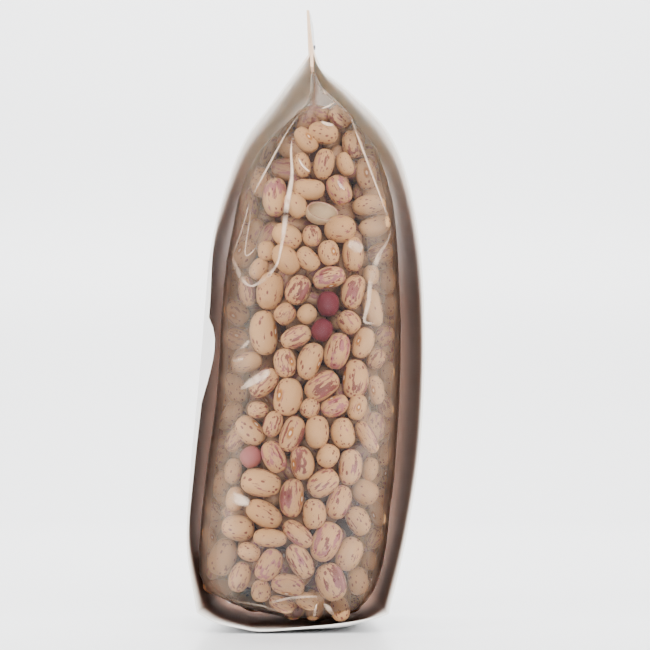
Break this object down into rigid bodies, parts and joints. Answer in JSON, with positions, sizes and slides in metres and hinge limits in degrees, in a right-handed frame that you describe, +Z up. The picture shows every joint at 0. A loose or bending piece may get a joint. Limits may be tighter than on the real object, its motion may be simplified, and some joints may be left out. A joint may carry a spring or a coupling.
{
  "type": "pack of dried borlotti beans",
  "caption": "Upright retail pack: a clear film bag full of dried speckled beans, standing in a folded card sleeve open on two sides and closed by a flat seal on top.",
  "frame": {"origin": "middle of the pack's bounding box on the surface that it stands on", "axes": "+Z up the pack to its seal, -Y out of the open side that the picture shows, +X to the right in the picture"},
  "size_m": [0.0806, 0.082, 0.2074],
  "materials": {
    "card_sleeve": "coated paperboard, white outside and pale grey-beige inside",
    "bag_of_beans": "beige dried beans with dark red speckles, seen through clear glossy film"
  },
  "bodies": {
    "root": {"card_sleeve": "card_sleeve", "bag_of_beans": "bag_of_beans"}
  },
  "joints": []
}
